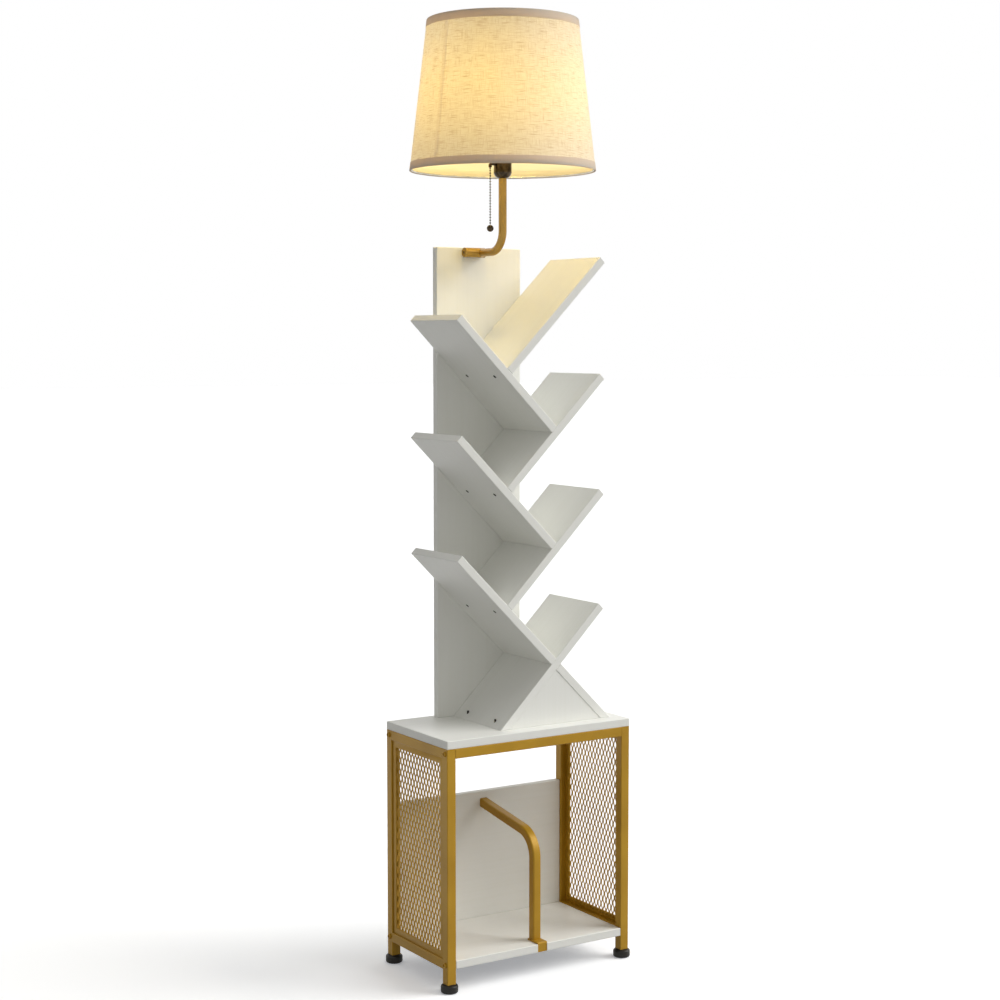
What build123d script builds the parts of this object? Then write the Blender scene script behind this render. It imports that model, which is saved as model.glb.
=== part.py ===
from build123d import *
import os
from math import acos, atan2, cos, hypot, pi, sin, sqrt

# Shelf floor lamp: a tube-frame cabinet, a zigzag tree of shelves and a shaded lamp on a bent arm.
# Millimetres, +Z up, +X to the right, -Y to the front, origin on the floor under the middle of the base.

# Cabinet
base_width = 400.0
base_depth = 221.0
base_height = 460.0
board = 15.0  # thickness of every panel
board_ease = 0.8  # broken edge of every panel
tube = 18.0  # side of the square frame tube
tube_wall = 1.2
tube_round = 1.5
low_rail_z = 51.0  # middle of the low side rails and of the bottom shelf
play = 0.1  # gap round a screw, a plug or a tube in its hole
bolt_diameter = 5.0
bolt_head_diameter = 10.0
bolt_head_height = 3.0
bolt_grip = 12.0  # how far a bolt goes into the rail or the shelf
rail_plug_length = 20.0

# Levelling feet
foot_diameter = 32.0
foot_height = 15.0
foot_round = 4.0
foot_travel = 8.0
thread_hold = 18.0  # thread still held when a foot is wound right out
stem_diameter = 8.0
insert_flange = 1.0

# Side panels of expanded metal in a strip border
strip_width = 12.0
strip_thickness = 3.0
strip_recess = 2.5
net_thickness = 1.5
net_lap = 6.0
net_columns = 11
net_rows = 12
net_strand = 2.4

# Rear stop panel and divider bar
stop_height = 245.5
divider_x = 4.5
divider_height = 224.0  # axis of the bar's top run above the shelf, at the stop panel
divider_fall = 28.0  # how much lower the top run's axis is where it meets the upright
divider_setback = 26.5  # axis of the upright behind the shelf's front edge
bar = 17.0
bar_wall = 1.2
bar_round = 3.0
bar_bend = 48.0
bar_plug_length = 14.0
clip_width = 20.5
clip_thickness = 3.0
clip_inset = 1.0

# Zigzag shelves
tree_depth = 166.0
back_gap = 10.0  # from the back board to the cabinet's rear edge
tree_pitch = 215.0
tree_foot = 15.0  # height of the lowest shelf crossing above the top board
shelf_length = 288.0
left_count = 3
screw_inset = 35.0
front_panel_inset = 1.0
back_width = 184.0
back_shift = -11.0
back_over = 222.0  # height of the back board above the top shelf crossing
screw_diameter = 4.0
screw_head_diameter = 7.0
screw_head_height = 3.0
screw_bite = 30.0  # how far a screw goes into the second board
dowel_diameter = 8.0
dowel_bite = 10.0

# Lamp arm and the barrel that holds it
barrel_diameter = 18.0
barrel_flat = 1.0
barrel_left = 36.0
barrel_right = 9.0
arm_tube = 15.0
arm_wall = 1.2
arm_bend = 38.0
arm_reach = 85.5
arm_shift = -2.0  # from the middle of the back board
arm_rise = 132.0
arm_seat = 3.0  # barrel wall left behind the arm
set_screw_diameter = 5.0
cord_bore = 7.0
gland_body = 10.0
gland_flange_diameter = 18.0
gland_flange = 3.0

# Lampholder
cap_diameter = 33.0
cap_height = 29.5
cap_dome = 13.0
cap_wall = 1.5
cap_floor = 2.5
shell_diameter = 32.0
shell_wall = 1.2
shell_height = 30.5
core_thickness = 4.5
switch_height = 15.0
sleeve_wall = 0.4
contact_height = 1.5
contact_diameter = 10.0
harp_shelf_height = 14.5
harp_shelf_diameter = 36.0
harp_shelf_thickness = 2.0
ring_nut_diameter = 40.0
ring_nut_height = 6.5
lock_nut_diameter = 20.0
lock_nut_height = 4.0

# Pull chain
guide_diameter = 6.0
guide_bore = 4.4
guide_height = 26.0
guide_mouth = 7.0
guide_bend = 4.0
chain_offset = 27.0
bead_diameter = 3.2
bead_pitch = 5.0
bead_count = 20
bead_wire = 1.0
bead_gap = 0.3
link_diameter = 1.6
pull_diameter = 12.6

# Bulb, harp and shade
bulb_diameter = 60.0
bulb_neck = 26.0
bulb_cap_height = 24.0
bulb_height = 84.0
bulb_glass_wall = 0.8
harp_wire = 3.0
harp_width = 108.0
harp_ring_thickness = 1.5
harp_ring_diameter = 48.0
stud_diameter = 6.0
shade_rise = 13.0
shade_bottom_diameter = 340.6
shade_top_diameter = 276.0
shade_height = 272.0
shade_wall = 1.5
binding_height = 15.0
binding_thickness = 0.6
spider_drop = 26.0
spider_wire = 3.0
spoke_wire = 2.6
spider_spokes = 3
spoke_tab_length = 12.0  # flattened end of a spoke, welded to the ring
spoke_tab_width = 4.5
spoke_tab_thickness = 1.8
washer_diameter = 20.0
washer_thickness = 2.0
finial_diameter = 14.0
finial_height = 14.0

# Planes of the cabinet
half_width = base_width / 2
half_depth = base_depth / 2
frame_top = base_height - board
post_x = half_width - tube / 2
post_y = half_depth - tube / 2
post_foot = foot_height + insert_flange
rail_span = base_depth - 2 * tube
top_rail_z = frame_top - tube / 2
bore_side = tube - 2 * tube_wall
shelf_top = low_rail_z + board / 2
shelf_half = half_width - tube
opening_low = low_rail_z + tube / 2
opening_high = frame_top - tube
opening_middle = (opening_low + opening_high) / 2
opening_height = opening_high - opening_low
stop_front = half_depth - board

# Planes of the tree
back_rear = half_depth - back_gap
tree_back = back_rear - board
tree_front = tree_back - tree_depth
top_crossing = base_height + tree_foot + left_count * tree_pitch
back_top = top_crossing + back_over
crossing_x = tree_pitch / 4
crossing_run = tree_pitch / sqrt(2)
screw_rows = (tree_front + screw_inset, tree_back - screw_inset)

# Places of the lamp
lamp_x = back_shift + arm_shift
lamp_y = tree_back - arm_reach
arm_z = back_top - barrel_diameter / 2
barrel_y = tree_back - barrel_diameter / 2 + barrel_flat
cap_z = arm_z + arm_rise
shell_z = cap_z + cap_height
sleeve_z = shell_z + core_thickness
harp_z = shell_z + harp_shelf_height
shade_z = cap_z + shade_rise
shade_top = shade_z + shade_height
washer_z = shade_top - spider_drop
chain_x = lamp_x - chain_offset
guide_z = cap_z + guide_height
mouth_z = guide_z - guide_mouth
lamp_plane = Plane(origin=(lamp_x, lamp_y, 0), x_dir=(1, 0, 0), z_dir=(0, -1, 0))
lamp_axis = Axis((lamp_x, lamp_y, 0), (0, 0, 1))
chain_plane = Plane(origin=(chain_x, lamp_y, 0), x_dir=(1, 0, 0), z_dir=(0, -1, 0))
chain_axis = Axis((chain_x, lamp_y, 0), (0, 0, 1))

# Unit directions of the slanted shelves in the front view, as (x, z)
diagonal = sqrt(0.5)
up_right = Vector(diagonal, 0, diagonal)
up_left = Vector(-diagonal, 0, diagonal)

# How a solid lies on its place: below it, above it or behind it
HANGING = (Align.CENTER, Align.CENTER, Align.MAX)
STANDING = (Align.CENTER, Align.CENTER, Align.MIN)
BEHIND = (Align.CENTER, Align.MIN, Align.CENTER)

os.makedirs("parts", exist_ok=True)


def save(piece, name):
    """Label a finished piece and write its STEP file."""
    piece.part.label = name
    export_step(piece.part, f"parts/{name}.step")


def facing(point, direction):
    """Location at a point whose +Z runs along the given direction."""
    return Plane(origin=point, z_dir=direction).location


def panel(x_range, y_range, z_range):
    """Add a flat board between three pairs of limits, with every edge broken."""
    ranges = (x_range, y_range, z_range)
    with Locations(tuple((high + low) / 2 for low, high in ranges)):
        Box(*(high - low for low, high in ranges))
    chamfer(edges(), board_ease)


def slanted_board(points, y_range):
    """Add a board with the given front-view outline, with every edge broken."""
    with BuildSketch(Plane.XZ.offset(-y_range[1])) as outline:
        with BuildLine():
            Polyline(*((point.X, point.Z) for point in points), close=True)
        make_face()
    extrude(outline.sketch, amount=y_range[1] - y_range[0])
    chamfer(edges(), board_ease)


def square_bar(plane, side, corner, length):
    """Add a square bar with rounded corners along the plane's normal."""
    with BuildSketch(plane) as section:
        RectangleRounded(side, side, corner)
    extrude(section.sketch, amount=length)


def square_bore(plane, side, length):
    """Cut a square hole along the plane's normal."""
    with BuildSketch(plane) as section:
        Rectangle(side, side)
    extrude(section.sketch, amount=length, mode=Mode.SUBTRACT)


def turned(outline, plane=lamp_plane, axis=lamp_axis):
    """Add a solid of revolution from a closed outline of (radius, height) points."""
    with BuildSketch(plane) as half:
        with BuildLine():
            Polyline(*outline, close=True)
        make_face()
    revolve(half.sketch, axis=axis)


def drill(places, diameter, depth):
    """Cut round holes down from each place along its -Z."""
    with Locations(*places):
        Cylinder(diameter / 2 + play, depth, align=HANGING, mode=Mode.SUBTRACT)


def screw_holes(places, depth):
    """Cut clearance holes with a sunk seat for the head down from each place."""
    drill(places, screw_diameter, depth)
    drill(places, screw_head_diameter, screw_head_height)


def key_socket(height, head_diameter, head_height):
    """Cut a hexagonal key socket into the top of a head."""
    with BuildSketch(Plane.XY.offset(height)) as key:
        RegularPolygon(head_diameter * 0.27, 6)
    extrude(key.sketch, amount=-head_height * 0.6, mode=Mode.SUBTRACT)


def screw(length, proud=0.0):
    """One screw along -Z whose head is sunk below the origin or stands proud of it."""
    with BuildPart() as one:
        with Locations((0, 0, proud)):
            Cylinder(screw_head_diameter / 2, screw_head_height, align=HANGING)
        Cylinder(screw_diameter / 2, length, align=HANGING)
        key_socket(proud, screw_head_diameter, screw_head_height)
    return one.part


# Holes of the expanded metal: staggered diamonds, taller than wide, cut off at the border
net_width = rail_span - 2 * strip_width
net_height = opening_height - 2 * strip_width
step_y = net_width / net_columns
step_z = net_height / net_rows
shrink = 1 - net_strand * hypot(step_y, step_z) / (step_y * step_z)
reach_y = step_y / 2 * shrink
reach_z = step_z / 2 * shrink
tips = [(reach_y, 0), (0, reach_z), (-reach_y, 0), (0, -reach_z)]


def net_hole(middle_y, middle_z):
    """Closed outline of one diamond about a point, cut off at the border."""
    held = []
    for tip_y, tip_z in tips:
        y = max(-net_width / 2, min(net_width / 2, middle_y + tip_y))
        z = max(-net_height / 2, min(net_height / 2, middle_z + tip_z))
        if (y, z) not in held:
            held.append((y, z))
    return Wire.make_polygon(held, close=True)


net_holes = []
for extra in (0, 1):
    for column in range(net_columns + extra):
        for row in range(net_rows + extra):
            hole_y = (column + 0.5 - extra / 2) * step_y - net_width / 2
            hole_z = (row + 0.5 - extra / 2) * step_z - net_height / 2
            net_holes.append(net_hole(hole_y, hole_z))
net_edge = Wire.make_rect(net_width + 2 * net_lap, net_height + 2 * net_lap)
net_face = Face(net_edge, net_holes)

# Side frames: two posts and two rails welded into a ladder, hollow all through
post_rows = (-post_y, post_y)
rail_rows = (low_rail_z, top_rail_z)
bolt_places = {side: [facing((side * half_width, y, z), (side, 0, 0)) for y in post_rows for z in rail_rows]
               for side in (-1, 1)}
for side, name in ((-1, "left"), (1, "right")):
    with BuildPart() as side_frame:
        posts = [Plane((side * post_x, y, post_foot)) for y in post_rows]
        rail_y = rail_span / 2 + tube / 2
        rails = [Plane((side * post_x, rail_y, z), x_dir=(1, 0, 0), z_dir=(0, -1, 0)) for z in rail_rows]
        for post in posts:
            square_bar(post, tube, tube_round, frame_top - post_foot)
        for rail in rails:
            square_bar(rail, tube, tube_round, rail_span + tube)
        for post in posts:
            square_bore(post, bore_side, frame_top - post_foot)
        for rail in rails:
            square_bore(rail, bore_side, rail_span + tube)
        drill(bolt_places[side], bolt_diameter, tube)
    save(side_frame, f"{name}_side_frame")

    # Side panel: a strip border set back from the frame's outer face, with expanded metal behind it
    strip_x = side * (half_width - strip_recess)
    with BuildPart() as mesh_panel:
        with BuildSketch(Plane.YZ.offset(strip_x)):
            with Locations((0, opening_middle)):
                Rectangle(rail_span, opening_height)
                Rectangle(net_width, net_height, mode=Mode.SUBTRACT)
        extrude(amount=-side * strip_thickness)
        with BuildSketch(Plane.YZ.offset(strip_x - side * strip_thickness)):
            with Locations((0, opening_middle)):
                add(net_face)
        extrude(amount=-side * net_thickness)
    save(mesh_panel, f"{name}_mesh_panel")

# Top rails between the side frames, with a threaded plug in each end. The screws that hold the top board
# go in through the lower wall and bear on the upper one from inside.
rail_screw_rows = (-shelf_half / 2, shelf_half / 2)
rail_seat = frame_top - tube_wall
rail_screw_length = tube_wall + board * 0.7
for side, name in ((-1, "front"), (1, "rear")):
    rail = Plane((-shelf_half, side * post_y, top_rail_z), x_dir=(0, 1, 0), z_dir=(1, 0, 0))
    with BuildPart() as top_rail:
        square_bar(rail, tube, tube_round, 2 * shelf_half)
        square_bore(rail, bore_side, 2 * shelf_half)
        upper_wall = [facing((x, side * post_y, rail_seat), (0, 0, -1)) for x in rail_screw_rows]
        lower_wall = [facing((x, side * post_y, opening_high), (0, 0, -1)) for x in rail_screw_rows]
        drill(upper_wall, screw_diameter, tube)
        drill(lower_wall, screw_head_diameter + 2, tube / 2)
    save(top_rail, f"{name}_top_rail")

plug_x = shelf_half - rail_plug_length / 2
with BuildPart() as rail_plugs:
    with Locations(*[(x, y, top_rail_z) for x in (-plug_x, plug_x) for y in post_rows]):
        Box(rail_plug_length, bore_side - 2 * play, bore_side - 2 * play)
    for side in (-1, 1):
        drill(bolt_places[side], bolt_diameter, tube + rail_plug_length)
save(rail_plugs, "rail_end_plugs")

# Domed bolts through the posts, into the rail plugs above and the shelf below
with BuildPart() as bolt:
    Cylinder(bolt_head_diameter / 2, bolt_head_height, align=STANDING)
    fillet(bolt.edges().group_by(Axis.Z)[-1], bolt_head_height * 0.6)
    Cylinder(bolt_diameter / 2, tube + bolt_grip, align=HANGING)
    key_socket(bolt_head_height, bolt_head_diameter, bolt_head_height)
with BuildPart() as frame_bolts:
    with Locations(*bolt_places[-1], *bolt_places[1]):
        add(bolt.part)
save(frame_bolts, "frame_bolts")

# Feet: a rounded puck on a threaded stem, and the insert that holds it in the post
corners = {"front_left": (-1, -1), "front_right": (1, -1), "rear_left": (-1, 1), "rear_right": (1, 1)}
for name, (x_side, y_side) in corners.items():
    with BuildPart() as foot:
        with Locations((x_side * post_x, y_side * post_y, 0)):
            Cylinder(foot_diameter / 2, foot_height, align=STANDING)
        fillet(foot.edges().filter_by(GeomType.CIRCLE), foot_round)
        with Locations((x_side * post_x, y_side * post_y, foot_height)):
            Cylinder(stem_diameter / 2, thread_hold + foot_travel, align=STANDING)
    save(foot, f"foot_{name}")

insert_places = [(x, y, foot_height) for x in (-post_x, post_x) for y in post_rows]
with BuildPart() as foot_inserts:
    for place in insert_places:
        square_bar(Plane(place), tube, tube_round, insert_flange)
        square_bar(Plane(place), bore_side - 2 * play, tube_round, thread_hold)
    with Locations(*insert_places):
        Cylinder(stem_diameter / 2 + play / 2, thread_hold, align=STANDING, mode=Mode.SUBTRACT)
save(foot_inserts, "foot_inserts")

# Bottom shelf with a notch for the divider's clip
upright_y = -half_depth + divider_setback
flange_y = -half_depth + clip_inset
shelf_low = shelf_top - board
stop_middle = stop_front + board / 2
stop_screw_rows = (-shelf_half / 2, 0, shelf_half / 2)
stop_screw_places = [facing((x, stop_middle, shelf_low), (0, 0, -1)) for x in stop_screw_rows]
clip_screw_place = facing((divider_x, upright_y, shelf_low), (0, 0, -1))
with BuildPart() as bottom_shelf:
    panel((-shelf_half, shelf_half), (-half_depth, half_depth), (shelf_low, shelf_top))
    with Locations((divider_x, -half_depth, low_rail_z)):
        Box(clip_width + 2 * play, 2 * (clip_inset + clip_thickness + play), board, mode=Mode.SUBTRACT)
    for side in (-1, 1):
        drill(bolt_places[side], bolt_diameter, tube + bolt_grip)
    screw_holes([*stop_screw_places, clip_screw_place], board)
save(bottom_shelf, "bottom_shelf")

# Rear stop panel, standing on the shelf between the rear posts
bar_z = shelf_top + divider_height
bar_screw_place = facing((divider_x, half_depth, bar_z), (0, 1, 0))
with BuildPart() as rear_stop:
    panel((-shelf_half, shelf_half), (stop_front, half_depth), (shelf_top, shelf_top + stop_height))
    drill(stop_screw_places, screw_diameter, board + screw_bite)
    screw_holes([bar_screw_place], board)
save(rear_stop, "rear_stop_panel")

# Divider: a bent square tube from the stop panel to a clip hooked over the shelf's front edge
clip_top = shelf_top + clip_thickness
bar_bore = bar - 2 * bar_wall
bar_start = Vector(divider_x, stop_front, bar_z)
bar_corner = Vector(divider_x, upright_y, bar_z - divider_fall)
bar_run = (bar_corner - bar_start).normalized()
bar_tail = bar_start - bar_run * bar  # behind the stop panel's face, trimmed flush with it
bar_frame = Plane(bar_tail, x_dir=(1, 0, 0), z_dir=bar_run)


def trim_at_stop():
    """Cut off what lies behind the stop panel's front face."""
    with Locations(bar_start):
        Box(2 * bar, 4 * bar, 4 * bar, align=(Align.CENTER, Align.MIN, Align.CENTER), mode=Mode.SUBTRACT)


with BuildPart() as divider_bar:
    with BuildLine() as bar_path:
        FilletPolyline(bar_tail, bar_corner, (divider_x, upright_y, clip_top), radius=bar_bend)
    with BuildSketch(bar_frame):
        RectangleRounded(bar, bar, bar_round)
        Rectangle(bar_bore, bar_bore, mode=Mode.SUBTRACT)
    sweep(path=bar_path.line)
    trim_at_stop()
save(divider_bar, "divider_bar")

bar_plug = bar_bore - 2 * play
with BuildPart() as bar_plugs:
    with Locations(bar_frame.location):
        Box(bar_plug, bar_plug, bar + bar_plug_length, align=STANDING)
    trim_at_stop()
    with Locations((divider_x, upright_y, clip_top + bar_plug_length / 2)):
        Box(bar_plug, bar_plug, bar_plug_length)
    drill([bar_screw_place, clip_screw_place], screw_diameter, board + clip_thickness + bar_plug_length)
save(bar_plugs, "divider_plugs")

with BuildPart() as divider_clip:
    with BuildSketch(Plane.YZ.offset(divider_x - clip_width / 2)):
        with BuildLine():
            Polyline(
                (upright_y + bar / 2, shelf_top), (upright_y + bar / 2, clip_top), (flange_y, clip_top),
                (flange_y, shelf_low), (flange_y + clip_thickness, shelf_low),
                (flange_y + clip_thickness, shelf_top),
                close=True,
            )
        make_face()
    extrude(amount=clip_width)
    bend = divider_clip.edges().filter_by(Axis.X).group_by(Axis.Z)[-1].sort_by(Axis.Y)[0]
    fillet(bend, clip_thickness * 0.8)
    drill([clip_screw_place], screw_diameter, board + clip_thickness)
save(divider_clip, "divider_clip")


# Crossings of the tree: a right shelf stands on a left one, and a left one butts on the next right one
def upper_crossing(level):
    """Point where a right shelf's upper face meets the top of the left shelf under it."""
    return Vector(-crossing_x, 0, top_crossing - level * tree_pitch)


def lower_crossing(level):
    """Point where a left shelf's top meets the upper face of the next right shelf."""
    return Vector(crossing_x, 0, top_crossing - (level + 0.5) * tree_pitch)


def row_places(point, direction):
    """Places at the front and at the back row of screws, for screws whose heads face the direction."""
    return [facing((point.X, y, point.Z), direction) for y in screw_rows]


def standing_places(level):
    """Screws up through a left shelf into the end of the right shelf on it."""
    return row_places(upper_crossing(level) - up_left * (board / 2) - up_right * board, -up_right)


def butt_places(level):
    """Screws through the next right shelf into the lower end of a left shelf."""
    return row_places(lower_crossing(level) - up_right * (board / 2) - up_left * board, -up_left)


def rear_places(start, direction, across):
    """Two places on the back board's rear face, behind the middle of a shelf's back edge."""
    points = [start + across * (board / 2) + direction * (crossing_run * share) for share in (0.25, 0.75)]
    return [facing((point.X, back_rear, point.Z), (0, 1, 0)) for point in points]


level_names = ["top", "upper", "lower", "foot"]
tree_range = (tree_front, tree_back)
left_rear_places = [rear_places(lower_crossing(level), up_left, -up_right) for level in range(left_count)]
right_rear_places = [
    rear_places(upper_crossing(level), up_right, -up_left) for level in range(left_count + 1)
]
foot_width = board * sqrt(2)
dowel_length = 2 * dowel_bite + board
dowel_middle = lower_crossing(left_count - 1) - up_right * (board / 2)
leg_dowel_places = row_places(dowel_middle + up_left * dowel_bite, up_left)

# Left shelves: the lower end butts on the next right shelf
for level in range(left_count):
    end = lower_crossing(level)
    tip = end + up_left * shelf_length
    with BuildPart() as left_shelf:
        slanted_board([end, tip, tip - up_right * board, end - up_right * board], tree_range)
        screw_holes(standing_places(level), board)
        drill(left_rear_places[level], screw_diameter, board + screw_bite)
        if level < left_count - 1:
            drill(butt_places(level), screw_diameter, board + screw_bite)
        else:
            drill(leg_dowel_places, dowel_diameter, dowel_length)
    save(left_shelf, f"left_shelf_{level_names[level]}")

# Right shelves: each stands on a left one
for level in range(left_count):
    start = upper_crossing(level)
    tip = start + up_right * shelf_length
    with BuildPart() as right_shelf:
        slanted_board([start, tip, tip - up_left * board, start - up_left * board], tree_range)
        drill(standing_places(level), screw_diameter, board + screw_bite)
        drill(right_rear_places[level], screw_diameter, board + screw_bite)
        if level > 0:
            screw_holes(butt_places(level - 1), board)
    save(right_shelf, f"right_shelf_{level_names[level]}")

# The lowest right shelf runs on down to the top board as the left leg
left_foot = Vector(-crossing_x - tree_foot, 0, base_height)
left_heel = left_foot + Vector(foot_width, 0, 0)
tip = upper_crossing(left_count) + up_right * shelf_length
leg_screw_depth = board + screw_bite / 2
left_leg_places = row_places(Vector(left_foot.X + foot_width / 2, 0, frame_top), (0, 0, -1))
with BuildPart() as foot_shelf:
    slanted_board([left_foot, tip, tip - up_left * board, left_heel], tree_range)
    drill(right_rear_places[left_count], screw_diameter, board + screw_bite)
    drill(leg_dowel_places, dowel_diameter, dowel_length)
    drill(left_leg_places, screw_diameter, leg_screw_depth)
save(foot_shelf, f"right_shelf_{level_names[left_count]}")

# Right leg in line with the lowest left shelf, and the triangular panel that closes the foot
leg_top = lower_crossing(left_count - 1) - up_left * board
leg_inner_top = leg_top - up_right * board
right_foot = Vector(leg_top.X + leg_top.Z - base_height, 0, base_height)
right_heel = right_foot - Vector(foot_width, 0, 0)
right_leg_places = row_places(Vector(right_foot.X - foot_width / 2, 0, frame_top), (0, 0, -1))
with BuildPart() as right_leg:
    slanted_board([leg_top, right_foot, right_heel, leg_inner_top], tree_range)
    drill(leg_dowel_places, dowel_diameter, dowel_length)
    drill(right_leg_places, screw_diameter, leg_screw_depth)
save(right_leg, "right_leg")

panel_front = tree_front + front_panel_inset
panel_run = right_heel.X - left_heel.X
panel_places = [
    facing((left_heel.X + panel_run * share, panel_front + board / 2, frame_top), (0, 0, -1))
    for share in (0.35, 0.65)
]
with BuildPart() as foot_panel:
    slanted_board([left_heel, leg_inner_top, right_heel], (panel_front, panel_front + board))
    drill(panel_places, screw_diameter, leg_screw_depth)
save(foot_panel, "foot_front_panel")

shelf_screw_places = [standing_places(level) for level in range(left_count)]
shelf_screw_places += [butt_places(level) for level in range(left_count - 1)]
shelf_screw = screw(board + screw_bite)
with BuildPart() as shelf_screws:
    with Locations(*sum(shelf_screw_places, [])):
        add(shelf_screw)
save(shelf_screws, "shelf_screws")

# Top board, screwed up through the top rails, with dowels for the back board
tree_foot_places = [*left_leg_places, *right_leg_places, *panel_places]
all_rail_screws = [facing((x, y, rail_seat), (0, 0, -1)) for x in rail_screw_rows for y in post_rows]
back_dowel_places = [
    facing((back_shift + share * back_width, tree_back + board / 2, base_height + dowel_bite), (0, 0, 1))
    for share in (-0.3, 0.3)
]
with BuildPart() as top_board:
    panel((-half_width, half_width), (-half_depth, half_depth), (frame_top, base_height))
    screw_holes(tree_foot_places, board)
    drill(all_rail_screws, screw_diameter, rail_screw_length)
    drill(back_dowel_places, dowel_diameter, 2 * dowel_bite)
save(top_board, "top_board")

# Screws of the cabinet: stop panel, divider, tree foot and top board
cabinet_joints = [
    (stop_screw_places, shelf_screw),
    ([bar_screw_place, clip_screw_place], screw(board + clip_thickness + bar_plug_length)),
    (tree_foot_places, screw(leg_screw_depth)),
    (all_rail_screws, screw(rail_screw_length, proud=screw_head_height)),
]
with BuildPart() as cabinet_screws:
    for places, one in cabinet_joints:
        with Locations(*places):
            add(one)
save(cabinet_screws, "cabinet_screws")

with BuildPart() as dowels:
    with Locations(*leg_dowel_places):
        Cylinder(dowel_diameter / 2, dowel_length, align=HANGING)
    with Locations(*back_dowel_places):
        Cylinder(dowel_diameter / 2, 2 * dowel_bite, align=HANGING)
save(dowels, "dowels")

# Back board behind the shelves, with the gland's hole and the barrel's screws near its top
gland_place = facing((lamp_x, back_rear, arm_z), (0, 1, 0))
barrel_screw_places = [
    facing((lamp_x - barrel_left * share, back_rear, arm_z), (0, 1, 0)) for share in (0.4, 0.8)
]
shelf_rear_places = sum(left_rear_places + right_rear_places, [])
back_left = back_shift - back_width / 2
with BuildPart() as back_board:
    panel((back_left, back_left + back_width), (tree_back, back_rear), (base_height, back_top))
    screw_holes(shelf_rear_places + barrel_screw_places, board)
    drill([gland_place], gland_body, board)
    drill(back_dowel_places, dowel_diameter, 2 * dowel_bite)
save(back_board, "back_board")

barrel_screw_length = board + barrel_diameter / 2 - barrel_flat - set_screw_diameter / 2 - 1
barrel_screw = screw(barrel_screw_length)
with BuildPart() as back_board_screws:
    with Locations(*shelf_rear_places):
        add(shelf_screw)
    with Locations(*barrel_screw_places):
        add(barrel_screw)
save(back_board_screws, "back_board_screws")

# Gland for the cord at the back of the board
with BuildPart() as gland:
    with Locations(gland_place):
        Cylinder(gland_flange_diameter / 2, gland_flange, align=STANDING)
        Cylinder(gland_body / 2, board - play, align=HANGING)
        Cylinder(cord_bore / 2, 2 * (board + gland_flange), mode=Mode.SUBTRACT)
    fillet(gland.edges().group_by(Axis.Y)[-1], gland_flange * 0.3)
save(gland, "cord_gland")

# Barrel on the board's front face: flat at the back, bored for the arm and tapped at its left end
arm_root = tree_back - arm_seat
with BuildPart() as barrel:
    with BuildSketch(Plane.YZ.offset(lamp_x - barrel_left)):
        with Locations((barrel_y, arm_z)):
            Circle(barrel_diameter / 2)
    extrude(amount=barrel_left + barrel_right)
    chamfer(barrel.edges().filter_by(GeomType.CIRCLE), board_ease)
    with Locations((lamp_x, tree_back, arm_z)):
        Box(2 * barrel_left, 2 * barrel_flat, barrel_diameter, align=BEHIND, mode=Mode.SUBTRACT)
    drill([facing((lamp_x, arm_root - barrel_diameter, arm_z), (0, -1, 0))], arm_tube, barrel_diameter)
    drill([facing((lamp_x, tree_back, arm_z), (0, 1, 0))], gland_body, barrel_diameter)
    drill([facing((lamp_x - barrel_left, barrel_y, arm_z), (-1, 0, 0))], set_screw_diameter, barrel_left)
    drill(barrel_screw_places, screw_diameter, barrel_screw_length)
save(barrel, "arm_barrel")

# Set screw along the barrel, its end on the arm's root
set_screw_start = lamp_x - barrel_left
set_screw_length = barrel_left - arm_tube / 2 - play
with BuildPart() as set_screw:
    with BuildSketch(Plane.YZ.offset(set_screw_start)):
        with Locations((barrel_y, arm_z)):
            Circle(set_screw_diameter / 2)
    extrude(amount=set_screw_length)
    with BuildSketch(Plane.YZ.offset(set_screw_start)):
        with Locations((barrel_y, arm_z)):
            RegularPolygon(set_screw_diameter * 0.3, 6)
    extrude(amount=set_screw_diameter, mode=Mode.SUBTRACT)
save(set_screw, "arm_set_screw")

# Bent arm from the barrel forward and up into the socket cap
arm_end = cap_z + cap_floor + lock_nut_height
with BuildPart() as arm:
    with BuildLine() as arm_path:
        FilletPolyline(
            (lamp_x, arm_root, arm_z), (lamp_x, lamp_y, arm_z), (lamp_x, lamp_y, arm_end), radius=arm_bend,
        )
    with BuildSketch(Plane(origin=(lamp_x, arm_root, arm_z), z_dir=(0, -1, 0))):
        Circle(arm_tube / 2)
        Circle(arm_tube / 2 - arm_wall, mode=Mode.SUBTRACT)
    sweep(path=arm_path.line)
save(arm, "lamp_arm")

# Socket cap: a rounded cup on the arm's end, held by a lock nut inside it
cap_radius = cap_diameter / 2
arm_hole = arm_tube / 2 + play
dome_shoulder = arm_hole + (cap_radius - arm_hole) * 0.72
with BuildPart() as cap:
    with BuildSketch(lamp_plane):
        with BuildLine():
            neck = (arm_hole, cap_z)
            ThreePointArc(neck, (dome_shoulder, cap_z + cap_dome * 0.34), (cap_radius, cap_z + cap_dome))
            Polyline(
                (cap_radius, cap_z + cap_dome), (cap_radius, shell_z), (cap_radius - cap_wall, shell_z),
                (cap_radius - cap_wall, cap_z + cap_dome),
                (dome_shoulder - cap_wall, cap_z + cap_dome * 0.55),
                (lock_nut_diameter / 2, cap_z + cap_dome * 0.55),
                (lock_nut_diameter / 2, cap_z + cap_floor), (arm_hole, cap_z + cap_floor), neck,
            )
        make_face()
    revolve(axis=lamp_axis)
    drill([facing((lamp_x - cap_diameter, lamp_y, guide_z), (-1, 0, 0))], guide_diameter, cap_diameter)
save(cap, "socket_cap")

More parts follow.
